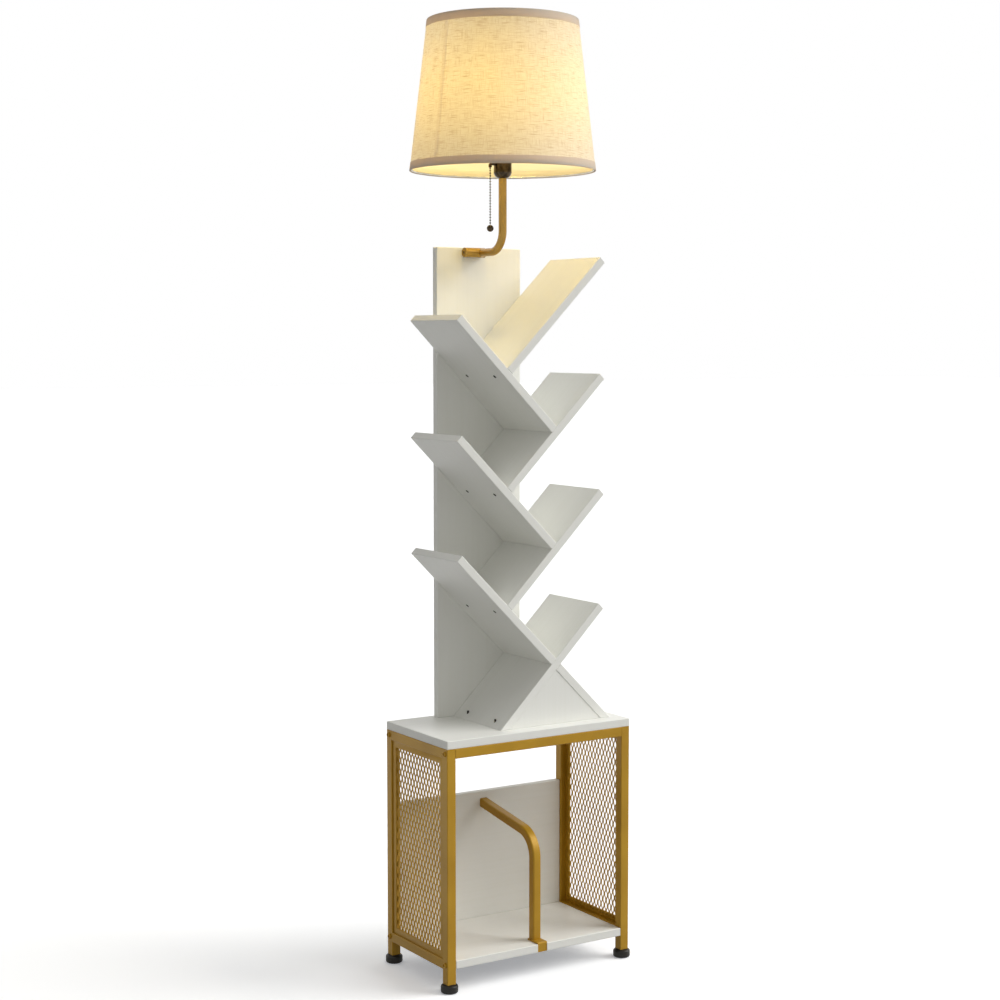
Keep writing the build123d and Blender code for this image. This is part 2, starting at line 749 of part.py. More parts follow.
with BuildPart() as lock_nut:
    with Locations((lamp_x, lamp_y, cap_z + cap_floor)):
        Cylinder(lock_nut_diameter / 2 - play, lock_nut_height, align=STANDING)
        Cylinder(arm_hole, lock_nut_height, align=STANDING, mode=Mode.SUBTRACT)
save(lock_nut, "lock_nut")

# Switch body in the cap, insulating core and brass sleeve in the shell above it
cap_bore = cap_radius - cap_wall
shell_radius = shell_diameter / 2
shell_bore = shell_radius - shell_wall
sleeve_bore = bulb_neck / 2 + play
shell_top = shell_z + shell_height
switch_z = shell_z - switch_height
with BuildPart() as switch_body:
    with Locations((lamp_x, lamp_y, shell_z)):
        Cylinder(cap_bore - play, switch_height, align=HANGING)
save(switch_body, "switch_body")

with BuildPart() as core:
    with Locations((lamp_x, lamp_y, shell_z)):
        Cylinder(shell_bore - play, core_thickness, align=STANDING)
save(core, "socket_core")

with BuildPart() as sleeve:
    with Locations((lamp_x, lamp_y, sleeve_z)):
        Cylinder(sleeve_bore + sleeve_wall, bulb_cap_height, align=STANDING)
        Cylinder(sleeve_bore, bulb_cap_height, align=STANDING, mode=Mode.SUBTRACT)
save(sleeve, "screw_sleeve")

contact_top = sleeve_z + contact_height
contact_radius = contact_diameter / 2
with BuildPart() as contact:
    with Locations((lamp_x, lamp_y, sleeve_z)):
        Cone(contact_radius, contact_radius * 0.8, contact_height, align=STANDING)
save(contact, "centre_contact")

# Shell with a shelf for the harp, and the ring nut that clamps the harp on it
ledge = harp_shelf_diameter / 2
ledge_low = harp_z - harp_shelf_thickness
with BuildPart() as shell:
    turned([
        (shell_bore, shell_z), (shell_radius, shell_z), (shell_radius, ledge_low), (ledge, ledge_low),
        (ledge, harp_z), (shell_radius, harp_z), (shell_radius, shell_top), (shell_bore, shell_top),
    ])
save(shell, "socket_shell")

nut_z = harp_z + harp_ring_thickness
nut_radius = ring_nut_diameter / 2
nut_bevel = nut_radius - ring_nut_height / 3
with BuildPart() as ring_nut:
    turned([
        (shell_radius + play, nut_z), (nut_radius, nut_z), (nut_radius, nut_z + ring_nut_height * 2 / 3),
        (nut_bevel, nut_z + ring_nut_height), (shell_radius + play, nut_z + ring_nut_height),
    ])
save(ring_nut, "ring_nut")

# Chain guide: a small elbow out of the cap, open downwards
with BuildPart() as guide:
    with BuildLine() as guide_path:
        FilletPolyline(
            (lamp_x - cap_bore, lamp_y, guide_z), (chain_x, lamp_y, guide_z), (chain_x, lamp_y, mouth_z),
            radius=guide_bend,
        )
    with BuildSketch(Plane(origin=(lamp_x - cap_bore, lamp_y, guide_z), z_dir=(-1, 0, 0))):
        Circle(guide_diameter / 2)
        Circle(guide_bore / 2, mode=Mode.SUBTRACT)
    sweep(path=guide_path.line)
save(guide, "chain_guide")

# Wire link up the guide's mouth into its bend, the bead chain that swings on it and the ball at the end
bead = bead_diameter / 2
wire = bead_wire / 2
link_z = mouth_z - bead - bead_gap
link_top = guide_z - guide_bend / 4
with BuildPart() as chain_link:
    with Locations((chain_x, lamp_y, link_z)):
        Sphere(bead)
        Cylinder(link_diameter / 2, link_top - link_z, align=STANDING)
save(chain_link, "chain_link")

first_bead = link_z - 2 * bead - bead_gap
waist = sqrt(bead ** 2 - wire ** 2)
chain_end = first_bead - bead_count * bead_pitch + waist
with BuildPart() as bead_chain:
    with BuildSketch(chain_plane):
        with BuildLine():
            for index in range(bead_count):
                middle = first_bead - index * bead_pitch
                top = (wire, middle + waist) if index else (0, middle + bead)
                ThreePointArc(top, (bead, middle), (wire, middle - waist))
                Line((wire, middle - waist), (wire, middle - bead_pitch + waist))
            Polyline((wire, chain_end), (0, chain_end), (0, first_bead + bead))
        make_face()
    revolve(axis=chain_axis)
save(bead_chain, "bead_chain")

pull_z = chain_end - pull_diameter / 2
with BuildPart() as pull_ball:
    with Locations((chain_x, lamp_y, pull_z)):
        Sphere(pull_diameter / 2)
save(pull_ball, "pull_ball")

# Bulb: a screw cap on the centre contact, and a pear of thin glass on the cap
neck_radius = bulb_neck / 2
glass_z = contact_top + bulb_cap_height
cap_slope = neck_radius - contact_radius
with BuildPart() as bulb_cap:
    turned([
        (0, contact_top), (contact_radius, contact_top), (neck_radius, contact_top + cap_slope),
        (neck_radius, glass_z), (0, glass_z),
    ])
save(bulb_cap, "bulb_cap")

globe_z = glass_z + bulb_height - bulb_diameter / 2


def pear(radius, foot):
    """Tangent point of a straight neck on the globe, and the globe's 45-degree point and top."""
    drop = globe_z - glass_z
    angle = atan2(-drop, foot) + acos(radius / hypot(foot, drop))
    touch = (radius * cos(angle), globe_z + radius * sin(angle))
    return touch, (radius * diagonal, globe_z + radius * diagonal), (0, globe_z + radius)


with BuildPart() as bulb_glass:
    with BuildSketch(lamp_plane):
        with BuildLine():
            outer = pear(bulb_diameter / 2, neck_radius)
            inner = pear(bulb_diameter / 2 - bulb_glass_wall, neck_radius - bulb_glass_wall)
            Line((neck_radius, glass_z), outer[0])
            ThreePointArc(*outer)
            Line(outer[2], inner[2])
            ThreePointArc(*reversed(inner))
            Polyline(inner[0], (neck_radius - bulb_glass_wall, glass_z), (neck_radius, glass_z))
        make_face()
    revolve(axis=lamp_axis)
save(bulb_glass, "bulb_glass")

# Harp: a wire bow round the bulb, from a flat ring on the shell to a threaded stud on top
root_x = harp_ring_diameter / 2 - harp_wire / 2
bow_x = harp_width / 2
bow_low = harp_z + harp_width * 0.42
bow_z = washer_z - harp_wire
bow_high = bow_z - harp_width * 0.5
boss_x = bow_x * 0.3
with BuildPart() as harp:
    with BuildLine(lamp_plane) as bow:
        FilletPolyline(
            (-root_x, harp_z + harp_ring_thickness / 2), (-bow_x, bow_low), (-bow_x, bow_high),
            (-boss_x, bow_z), (boss_x, bow_z), (bow_x, bow_high), (bow_x, bow_low),
            (root_x, harp_z + harp_ring_thickness / 2),
            radius=bow_x * 0.45,
        )
    with BuildSketch(Plane(origin=bow.line @ 0, z_dir=bow.line % 0)):
        Circle(harp_wire / 2)
    sweep(path=bow.line)
    with BuildSketch(Plane.XY.offset(harp_z)):
        with Locations((lamp_x, lamp_y)):
            Circle(harp_ring_diameter / 2)
            Circle(shell_radius + play, mode=Mode.SUBTRACT)
    extrude(amount=harp_ring_thickness)
    with Locations((lamp_x, lamp_y, washer_z)):
        Cylinder(stud_diameter * 0.8, 2 * harp_wire, align=HANGING)
        Cylinder(stud_diameter / 2, washer_thickness + finial_height * 0.6, align=STANDING)
    with Locations((lamp_x, lamp_y, harp_z)):
        Cylinder(harp_ring_diameter, harp_wire, align=HANGING, mode=Mode.SUBTRACT)
save(harp, "harp")


# Shade: a tapered drum on the spider, with a wire ring and a binding at each end
def shade_radius(height):
    """Outer radius of the drum at a height."""
    share = (height - shade_z) / shade_height
    return (shade_bottom_diameter + (shade_top_diameter - shade_bottom_diameter) * share) / 2


def cone_band(low, high, inner, outer):
    """Add a thin tapered band between two heights, its walls set off from the drum's outer face."""
    turned([
        (shade_radius(low) + inner, low), (shade_radius(low) + outer, low),
        (shade_radius(high) + outer, high), (shade_radius(high) + inner, high),
    ])


with BuildPart() as shade:
    cone_band(shade_z, shade_top, -shade_wall, 0)
save(shade, "shade")

with BuildPart() as bindings:
    cone_band(shade_z, shade_z + binding_height, play, play + binding_thickness)
    cone_band(shade_top - binding_height, shade_top, play, play + binding_thickness)
save(bindings, "shade_bindings")

wire_inset = shade_wall + spider_wire / 2 + play
low_ring_z = shade_z + spider_wire
with BuildPart() as bottom_ring:
    with Locations((lamp_x, lamp_y, low_ring_z)):
        Torus(shade_radius(low_ring_z) - wire_inset, spider_wire / 2)
save(bottom_ring, "shade_bottom_ring")

high_ring_z = shade_top - spider_wire
ring_radius = shade_radius(high_ring_z) - wire_inset
washer_radius = washer_diameter / 2
hub = washer_radius - spider_wire / 2
hub_z = washer_z + washer_thickness / 2
with BuildPart() as spider:
    with Locations((lamp_x, lamp_y, high_ring_z)):
        Torus(ring_radius, spider_wire / 2)
    for index in range(spider_spokes):
        turn = 2 * pi * index / spider_spokes
        outward = Vector(cos(turn), sin(turn), 0)
        spoke = outward * (ring_radius - hub) + Vector(0, 0, high_ring_z - hub_z)
        with Locations(facing(Vector(lamp_x, lamp_y, hub_z) + outward * hub, spoke)):
            Cylinder(spoke_wire / 2, spoke.length - spoke_tab_length / 3, align=STANDING)
        tab_end = Vector(lamp_x, lamp_y, high_ring_z) + outward * ring_radius
        with Locations(Plane(tab_end, x_dir=outward, z_dir=(0, 0, 1)).location):
            tab_align = (Align.MAX, Align.CENTER, Align.CENTER)
            Box(spoke_tab_length, spoke_tab_width, spoke_tab_thickness, align=tab_align)
    with Locations((lamp_x, lamp_y, washer_z)):
        Cylinder(washer_radius, washer_thickness, align=STANDING)
        Cylinder(washer_radius, spider_wire, align=HANGING, mode=Mode.SUBTRACT)
        Cylinder(stud_diameter / 2 + play, 4 * washer_thickness, mode=Mode.SUBTRACT)
save(spider, "shade_spider")

finial_z = washer_z + washer_thickness
finial_radius = finial_diameter / 2
bore = stud_diameter / 2 + play
with BuildPart() as finial:
    turned([
        (bore, finial_z), (finial_radius, finial_z), (finial_radius, finial_z + finial_height * 0.7),
        (finial_radius * 0.6, finial_z + finial_height), (0, finial_z + finial_height),
        (0, finial_z + finial_height * 0.65), (bore, finial_z + finial_height * 0.65),
    ])
save(finial, "finial")
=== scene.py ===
"""Dresses a shelf floor lamp: linen shade, expanded metal side panels and every solid's finish."""

import logging
import math
from abc import ABC, abstractmethod
from dataclasses import dataclass
from enum import Enum

import bmesh
import bpy
import numpy as np
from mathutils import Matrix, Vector


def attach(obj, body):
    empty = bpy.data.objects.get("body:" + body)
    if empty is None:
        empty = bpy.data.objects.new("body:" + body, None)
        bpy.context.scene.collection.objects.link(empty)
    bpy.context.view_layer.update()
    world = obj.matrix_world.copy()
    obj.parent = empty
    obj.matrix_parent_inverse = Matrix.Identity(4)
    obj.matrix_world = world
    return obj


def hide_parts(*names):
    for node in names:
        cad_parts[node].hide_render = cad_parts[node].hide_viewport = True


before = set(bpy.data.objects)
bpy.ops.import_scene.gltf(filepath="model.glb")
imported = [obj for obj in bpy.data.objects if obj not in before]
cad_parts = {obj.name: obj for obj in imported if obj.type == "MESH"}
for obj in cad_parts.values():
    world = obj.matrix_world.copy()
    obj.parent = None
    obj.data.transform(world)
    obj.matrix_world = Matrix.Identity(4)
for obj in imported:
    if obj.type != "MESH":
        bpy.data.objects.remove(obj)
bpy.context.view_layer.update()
LOG = logging.getLogger("shelf_lamp")
MM = 0.001
WELD = 1e-6  # points nearer than this, in metres, are one
WAVE_PERIOD = math.tau / 20  # from band to band of a wave texture at a scale of 1
WHITE = "#FFFFFF"
STAND = "stand"

Colour = tuple[float, float, float, float]
Tree = bpy.types.NodeTree
Node = bpy.types.Node
Socket = bpy.types.NodeSocket
Piece = bpy.types.Object


def linear(code: str) -> Colour:
    """Turn an sRGB hex colour into a linear one.

    Args:
        code: The colour as "#RRGGBB".

    Returns:
        Linear red, green, blue and an alpha of 1.
    """
    shown = np.array([int(code[k : k + 2], 16) for k in (1, 3, 5)]) / 255
    light = np.where(shown <= 0.04045, shown / 12.92, ((shown + 0.055) / 1.055) ** 2.4)
    return (*light.tolist(), 1.0)


def add_node(tree: Tree, kind: str, inputs: dict | None = None, **settings: object) -> Node:
    """Add one node with its settings, its values and its links.

    Args:
        tree: The node tree that it joins.
        kind: Blender's name of the node type.
        inputs: Socket names or numbers, each with a value to set or an output socket to link.
        settings: Attributes of the node, set before its inputs.

    Returns:
        The new node.
    """
    made = tree.nodes.new(kind)
    for name, value in settings.items():
        setattr(made, name, value)
    for key, value in (inputs or {}).items():
        if isinstance(value, Socket):
            tree.links.new(value, made.inputs[key])
        else:
            made.inputs[key].default_value = value
    return made


def surface(
    name: str,
    points: np.ndarray,
    closed: tuple[bool, bool] = (False, True),
    uv: tuple[np.ndarray, np.ndarray] | None = None,
    crease: float = 40.0,
) -> Piece:
    """Make a mesh object of one or more grids of points.

    A quad joins point (i, j) with (i, j + 1), (i + 1, j + 1) and (i + 1, j). A closed direction joins
    its last line to its first. Points that fall together, such as a collapsed end, are welded.

    Args:
        name: The object's name.
        points: Positions in metres, of shape (grids, rows, columns, 3) or (rows, columns, 3).
        closed: Whether the rows and the columns run round.
        uv: U of each column and V of each row, one more than the points in a closed direction.
        crease: Edges that bend by more degrees than this stay sharp.

    Returns:
        The object, at the origin, in the scene.
    """
    grids = points.reshape(-1, *points.shape[-3:])
    count, rows, columns = grids.shape[:3]
    g, i, j = np.meshgrid(
        np.arange(count),
        np.arange(rows - (not closed[0])),
        np.arange(columns - (not closed[1])),
        indexing="ij",
    )
    down = np.stack([i, i, i + 1, i + 1], -1)
    along = np.stack([j, j + 1, j + 1, j], -1)
    faces = (g[..., None] * rows + down % rows) * columns + along % columns
    mesh = bpy.data.meshes.new(name)
    mesh.from_pydata(grids.reshape(-1, 3), [], faces.reshape(-1, 4))
    if uv is not None:
        flat = np.stack([uv[0][along], uv[1][down]], -1)
        mesh.uv_layers.new(name="cloth").uv.foreach_set("vector", flat.astype(np.float32).ravel())
    shell = bmesh.new()
    shell.from_mesh(mesh)
    bmesh.ops.remove_doubles(shell, verts=shell.verts, dist=WELD)
    bmesh.ops.recalc_face_normals(shell, faces=shell.faces)
    shell.to_mesh(mesh)
    shell.free()
    mesh.polygons.foreach_set("use_smooth", np.ones(len(mesh.polygons), bool))
    mesh.set_sharp_from_angle(angle=math.radians(crease))
    piece = bpy.data.objects.new(name, mesh)
    bpy.context.collection.objects.link(piece)
    return piece


class Grain(Enum):
    """Turn about Y, in degrees, that lays a board's pattern along its length."""

    LEVEL = 0.0
    UPRIGHT = 90.0
    RISING = -45.0
    FALLING = 45.0


@dataclass(frozen=True)
class Finish(ABC):
    """A finish that can make its own material."""

    name: str

    @abstractmethod
    def shader(self, tree: Tree) -> Socket:
        """Build the finish's nodes.

        Args:
            tree: The material's empty node tree.

        Returns:
            The shader output that the surface shows.
        """

    def material(self) -> bpy.types.Material:
        """Give the finish's material, made the first time it is asked for.

        Returns:
            The material.
        """
        made = bpy.data.materials.get(self.name)
        if made is None:
            made = bpy.data.materials.new(self.name)
            made.use_nodes = True
            made.node_tree.nodes.clear()
            surface_socket = self.shader(made.node_tree)
            add_node(made.node_tree, "ShaderNodeOutputMaterial", {"Surface": surface_socket})
        return made


@dataclass(frozen=True)
class Melamine(Finish):
    """White melamine paper pressed on chipboard.

    The eye sees a near white of low gloss with a faint long grain, and fine pores pressed into it.
    """

    grain: Grain
    pale: str = "#F0F0EB"
    streak: str = "#EEEEE8"
    streak_length: float = 240 * MM
    streak_width: float = 6 * MM
    streak_band: tuple[float, float] = (0.42, 0.74)
    pore_length: float = 22 * MM
    pore_width: float = 1.2 * MM  # real pores are about 0.3 mm wide, too fine to show
    pore_depth: float = 0.15 * MM
    pore_relief: float = 0.08
    roughness: tuple[float, float] = (0.36, 0.5)
    ior: float = 1.5

    def shader(self, tree: Tree) -> Socket:
        """Mix two whites along the grain and press pores into the gloss and the relief.

        Args:
            tree: The material's empty node tree.

        Returns:
            The board's shader.
        """
        place = add_node(tree, "ShaderNodeTexCoord").outputs["Object"]
        turn = (0.0, math.radians(self.grain.value), 0.0)
        patterns = []
        for length, width, detail in (
            (self.streak_length, self.streak_width, 5.0),
            (self.pore_length, self.pore_width, 2.0),
        ):
            along = add_node(
                tree,
                "ShaderNodeMapping",
                {"Vector": place, "Rotation": turn, "Scale": (length, width, width)},
                vector_type="TEXTURE",
            )
            noise = add_node(
                tree,
                "ShaderNodeTexNoise",
                {"Vector": along.outputs[0], "Scale": 1.0, "Detail": detail},
            )
            patterns.append(noise.outputs["Fac"])
        streaks, pores = patterns
        spread = add_node(
            tree,
            "ShaderNodeMapRange",
            {"Value": streaks, "From Min": self.streak_band[0], "From Max": self.streak_band[1]},
        )
        colour = add_node(
            tree,
            "ShaderNodeMix",
            {0: spread.outputs[0], 6: linear(self.pale), 7: linear(self.streak)},
            data_type="RGBA",
        )
        gloss = add_node(
            tree,
            "ShaderNodeMapRange",
            {"Value": pores, "To Min": self.roughness[0], "To Max": self.roughness[1]},
        )
        relief = add_node(
            tree,
            "ShaderNodeBump",
            {"Height": pores, "Strength": self.pore_relief, "Distance": self.pore_depth},
        )
        return add_node(
            tree,
            "ShaderNodeBsdfPrincipled",
            {
                "Base Color": colour.outputs[2],
                "Roughness": gloss.outputs[0],
                "Normal": relief.outputs[0],
                "IOR": self.ior,
            },
        ).outputs[0]


@dataclass(frozen=True)
class MetalFinish(Finish):
    """A metal or a metal-coloured coat: two tones in soft clouds, and a fine relief in its gloss."""

    light: str
    deep: str
    roughness: tuple[float, float]
    cloud: float
    grit: float
    relief: float
    metallic: float = 1.0
    sheen: float = 0.5
    depth: float = 0.2 * MM
    cloud_band: tuple[float, float] = (0.32, 0.68)
    grit_band: tuple[float, float] = (0.3, 0.7)

    def shader(self, tree: Tree) -> Socket:
        """Mix the two tones in clouds and let the grit vary the gloss and the relief.

        Args:
            tree: The material's empty node tree.

        Returns:
            The metal's shader.
        """
        place = add_node(tree, "ShaderNodeTexCoord").outputs["Object"]
        clouds, grit = (
            add_node(
                tree, "ShaderNodeTexNoise", {"Vector": place, "Scale": 1 / size, "Detail": detail}
            ).outputs["Fac"]
            for size, detail in ((self.cloud, 3.0), (self.grit, 2.0))
        )
        spread = add_node(
            tree,
            "ShaderNodeMapRange",
            {"Value": clouds, "From Min": self.cloud_band[0], "From Max": self.cloud_band[1]},
        )
        colour = add_node(
            tree,
            "ShaderNodeMix",
            {0: spread.outputs[0], 6: linear(self.light), 7: linear(self.deep)},
            data_type="RGBA",
        )
        gloss = add_node(
            tree,
            "ShaderNodeMapRange",
            {
                "Value": grit,
                "From Min": self.grit_band[0],
                "From Max": self.grit_band[1],
                "To Min": self.roughness[0],
                "To Max": self.roughness[1],
            },
        )
        bump = add_node(
            tree,
            "ShaderNodeBump",
            {"Height": grit, "Strength": self.relief, "Distance": self.depth},
        )
        return add_node(
            tree,
            "ShaderNodeBsdfPrincipled",
            {
                "Base Color": colour.outputs[2],
                "Roughness": gloss.outputs[0],
                "Normal": bump.outputs[0],
                "Metallic": self.metallic,
                "Specular IOR Level": self.sheen,
            },
        ).outputs[0]


@dataclass(frozen=True)
class Linen(Finish):
    """Slub linen laminated on a smooth white liner, lit from inside.

    The eye sees a warm pale cloth whose uneven threads show as darker streaks both ways, since a thick
    thread lets less light through. Hems and the lapped seam are double and so darker. The liner inside
    is plain.
    """

    height: float
    hem: float
    lap: float
    cloth: str = "#E0DFDB"
    thread: str = "#C0AE8E"
    hem_cloth: str = "#EEE6D8"
    liner: str = "#F3F2EE"
    glow: str = "#FBEFD2"
    glow_thread: str = "#AE8C5C"
    glow_hem: str = "#956F42"
    slub_length: float = 24 * MM
    slub_width: float = 0.9 * MM
    slub_band: tuple[float, float] = (0.52, 0.74)
    slub_across: float = 0.6  # strength of the threads that run up, beside those that run round
    slub_rise: float = 2.0  # height of a thick thread beside the weave's
    weave: float = 1.6 * MM  # real threads are about 0.5 mm apart, too fine to show
    weave_waver: float = 0.6
    weave_relief: float = 0.25
    weave_depth: float = 0.3 * MM
    seam_share: float = 0.22
    hem_share: float = 0.85
    cloth_through: float = 0.36
    liner_through: float = 0.6
    roughness: float = 0.9
    fuzz: float = 0.5
    fuzz_roughness: float = 0.45

    def slubs(self, tree: Tree, cloth: Socket) -> Socket:
        """Draw thick threads that run both ways, few and short.

        Args:
            tree: The material's node tree.
            cloth: The cloth's own coordinates, in metres.

        Returns:
            1 on a thick thread, 0 between.
        """
        ways = []
        along = (self.slub_length, self.slub_width, 1.0)
        across = (self.slub_width, self.slub_length, 1.0)
        for size, most in ((along, 1.0), (across, self.slub_across)):
            stretched = add_node(
                tree, "ShaderNodeMapping", {"Vector": cloth, "Scale": size}, vector_type="TEXTURE"
            )
            noise = add_node(
                tree,
                "ShaderNodeTexNoise",
                {"Vector": stretched.outputs[0], "Scale": 1.0, "Detail": 2.0, "Roughness": 0.6},
            )
            ways.append(
                add_node(
                    tree,
                    "ShaderNodeMapRange",
                    {
                        "Value": noise.outputs["Fac"],
                        "From Min": self.slub_band[0],
                        "From Max": self.slub_band[1],
                        "To Max": most,
                    },
                ).outputs[0]
            )
        both = add_node(tree, "ShaderNodeMath", {0: ways[0], 1: ways[1]}, operation="MAXIMUM")
        return both.outputs[0]

    def relief(self, tree: Tree, cloth: Socket, thick: Socket) -> Socket:
        """Raise the weave and the thick threads.

        Args:
            tree: The material's node tree.
            cloth: The cloth's own coordinates, in metres.
            thick: 1 on a thick thread.

        Returns:
            The bent normal.
        """
        threads = [
            add_node(
                tree,
                "ShaderNodeTexWave",
                {
                    "Vector": cloth,
                    "Scale": WAVE_PERIOD / self.weave,
                    "Distortion": self.weave_waver,
                },
                bands_direction=way,
            ).outputs["Fac"]
            for way in ("X", "Y")
        ]
        woven = add_node(tree, "ShaderNodeMath", {0: threads[0], 1: threads[1]}, operation="ADD")
        raised = add_node(
            tree,
            "ShaderNodeMath",
            {0: thick, 1: self.slub_rise, 2: woven.outputs[0]},
            operation="MULTIPLY_ADD",
        )
        return add_node(
            tree,
            "ShaderNodeBump",
            {
                "Height": raised.outputs[0],
                "Strength": self.weave_relief,
                "Distance": self.weave_depth,
            },
        ).outputs[0]

    def shader(self, tree: Tree) -> Socket:
        """Let light through between the threads, less at hems and seam, and keep the liner plain.

        V runs up the outside, over the top and down the inside, so it is the height at the top edge.

        Args:
            tree: The material's empty node tree.

        Returns:
            The cloth's shader.
        """
        cloth = add_node(tree, "ShaderNodeUVMap", uv_map="cloth").outputs[0]
        place = add_node(tree, "ShaderNodeSeparateXYZ", {0: cloth})
        u, v = place.outputs["X"], place.outputs["Y"]
        inside = add_node(
            tree, "ShaderNodeMath", {0: v, 1: self.height}, operation="GREATER_THAN"
        ).outputs[0]
        # Doubled cloth: within a hem of an edge, and the lapped seam at the start of U
        to_edge = add_node(tree, "ShaderNodeMath", {0: v, 1: self.height / 2}, operation="PINGPONG")
        hems = add_node(
            tree, "ShaderNodeMath", {0: to_edge.outputs[0], 1: self.hem}, operation="LESS_THAN"
        )
        seam = add_node(tree, "ShaderNodeMath", {0: u, 1: self.lap}, operation="LESS_THAN")
        lapped = add_node(
            tree, "ShaderNodeMath", {0: seam.outputs[0], 1: self.seam_share}, operation="MULTIPLY"
        )
        doubled = add_node(
            tree,
            "ShaderNodeMix",
            {0: hems.outputs[0], 2: lapped.outputs[0], 3: self.hem_share},
            data_type="FLOAT",
        ).outputs[0]
        thick = self.slubs(tree, cloth)
        # What the cloth reflects and what it lets through take their tones in the same three layers
        tones = []
        for plain, thread, hem in (
            (self.cloth, self.thread, self.hem_cloth),
            (self.glow, self.glow_thread, self.glow_hem),
        ):
            tone = linear(plain)
            for part, colour in ((thick, thread), (doubled, hem), (inside, self.liner)):
                tone = add_node(
                    tree, "ShaderNodeMix", {0: part, 6: tone, 7: linear(colour)}, data_type="RGBA"
                ).outputs[2]
            tones.append(tone)
        face, glow = tones
        share = add_node(
            tree,
            "ShaderNodeMix",
            {0: inside, 2: self.cloth_through, 3: self.liner_through},
            data_type="FLOAT",
        )
        skin = add_node(
            tree,
            "ShaderNodeBsdfPrincipled",
            {
                "Base Color": face,
                "Roughness": self.roughness,
                "Normal": self.relief(tree, cloth, thick),
                "Sheen Weight": self.fuzz,
                "Sheen Roughness": self.fuzz_roughness,
            },
        )
        through = add_node(tree, "ShaderNodeBsdfTranslucent", {"Color": glow})
        return add_node(
            tree,
            "ShaderNodeMixShader",
            {0: share.outputs[0], 1: skin.outputs[0], 2: through.outputs[0]},
        ).outputs[0]


@dataclass(frozen=True)
class Moulded(Finish):
    """A moulded, fired or planed body: one colour with faint clouds and a fine pebble."""

    light: str
    deep: str
    roughness: tuple[float, float]
    pebble: float
    relief: float
    coat: float = 0.0
    shine: float = 0.5
    depth: float = 0.1 * MM
    glow: str = "#000000"
    glow_strength: float = 0.0

    def shader(self, tree: Tree) -> Socket:
        """Let one fine pebble vary the colour, the gloss and the relief.

        Args:
            tree: The material's empty node tree.

        Returns:
            The moulded piece's shader.
        """
        place = add_node(tree, "ShaderNodeTexCoord").outputs["Object"]
        pebble = add_node(
            tree, "ShaderNodeTexNoise", {"Vector": place, "Scale": 1 / self.pebble, "Detail": 3.0}
        ).outputs["Fac"]
        colour = add_node(
            tree,
            "ShaderNodeMix",
            {0: pebble, 6: linear(self.light), 7: linear(self.deep)},
            data_type="RGBA",
        )
        gloss = add_node(
            tree,
            "ShaderNodeMapRange",
            {"Value": pebble, "To Min": self.roughness[0], "To Max": self.roughness[1]},
        )
        bump = add_node(
            tree,
            "ShaderNodeBump",
            {"Height": pebble, "Strength": self.relief, "Distance": self.depth},
        )
        return add_node(
            tree,
            "ShaderNodeBsdfPrincipled",
            {
                "Base Color": colour.outputs[2],
                "Roughness": gloss.outputs[0],
                "Normal": bump.outputs[0],
                "Coat Weight": self.coat,
                "Specular IOR Level": self.shine,
                "Emission Color": linear(self.glow),
                "Emission Strength": self.glow_strength,
            },
        ).outputs[0]


# Powder coat in satin gold: a metallic coat with a soft orange peel
GOLD_COAT = MetalFinish(
    name="satin_gold_powder_coat",
    light="#B98E22",
    deep="#AB811A",
    roughness=(0.34, 0.44),
    cloud=90 * MM,
    grit=2.5 * MM,
    relief=0.06,
    metallic=0.15,
    sheen=0.28,
)
# Lacquered brass tube: a browner gold with a soft streak of light along it
BRASS_LACQUER = MetalFinish(
    name="satin_brass_lacquer",
    light="#AF8B3A",
    deep="#A58033",
    roughness=(0.2, 0.25),
    cloud=60 * MM,
    grit=4.0 * MM,
    relief=0.003,
    metallic=0.45,
)
# Bronze darkened by a patina: brown and dim, with warmer clouds where it is rubbed
DARK_BRONZE = MetalFinish(
    name="patinated_bronze",
    light="#544737",
    deep="#2C251E",
    roughness=(0.12, 0.22),
    cloud=9 * MM,
    grit=1.2 * MM,
    relief=0.04,
)
# Black oxide on steel screws: nearly black, with a dull sheen
BLACK_OXIDE = MetalFinish(
    name="black_oxide_steel",
    light="#4A4743",
    deep="#2E2C2A",
    roughness=(0.36, 0.5),
    cloud=4 * MM,
    grit=0.8 * MM,
    relief=0.06,
)
# Zinc plate on steel wire: pale grey, with fine drawing marks
ZINC_PLATE = MetalFinish(
    name="zinc_plated_steel",
    light="#CFCCC4",
    deep="#B7B4AC",
    roughness=(0.24, 0.36),
    cloud=12 * MM,
    grit=1.0 * MM,
    relief=0.05,
)
# Turned brass: yellow and bright
BRASS = MetalFinish(
    name="turned_brass",
    light="#D2AE62",
    deep="#BC9448",
    roughness=(0.2, 0.32),
    cloud=10 * MM,
    grit=1.0 * MM,
    relief=0.04,
)
# Polypropylene feet: black, matt, with a moulded pebble
FOOT_PLASTIC = Moulded(
    name="moulded_polypropylene",
    light="#120F09",
    deep="#1B1811",
    roughness=(0.34, 0.46),
    pebble=1.4 * MM,
    relief=0.12,
    shine=0.3,
)
# Bakelite inside the socket: black with a moulded gloss
BAKELITE = Moulded(
    name="moulded_bakelite",
    light="#171514",
    deep="#241F1C",
    roughness=(0.25, 0.38),
    pebble=3.0 * MM,
    relief=0.06,
)
# Glazed porcelain: off-white under a clear glaze
PORCELAIN = Moulded(
    name="glazed_porcelain",
    light="#EDEAE1",
    deep="#E2DED3",
    roughness=(0.12, 0.22),
    pebble=6.0 * MM,
    relief=0.04,
    coat=0.4,
)
# Frosted glass of a lit bulb: white and glowing warm
LIT_GLASS = Moulded(
    name="frosted_bulb_glass",
    light="#F6F1E6",
    deep="#EFE8DA",
    roughness=(0.4, 0.55),
    pebble=1.0 * MM,
    relief=0.05,
    glow="#FFE2B0",
    glow_strength=2.0,
)
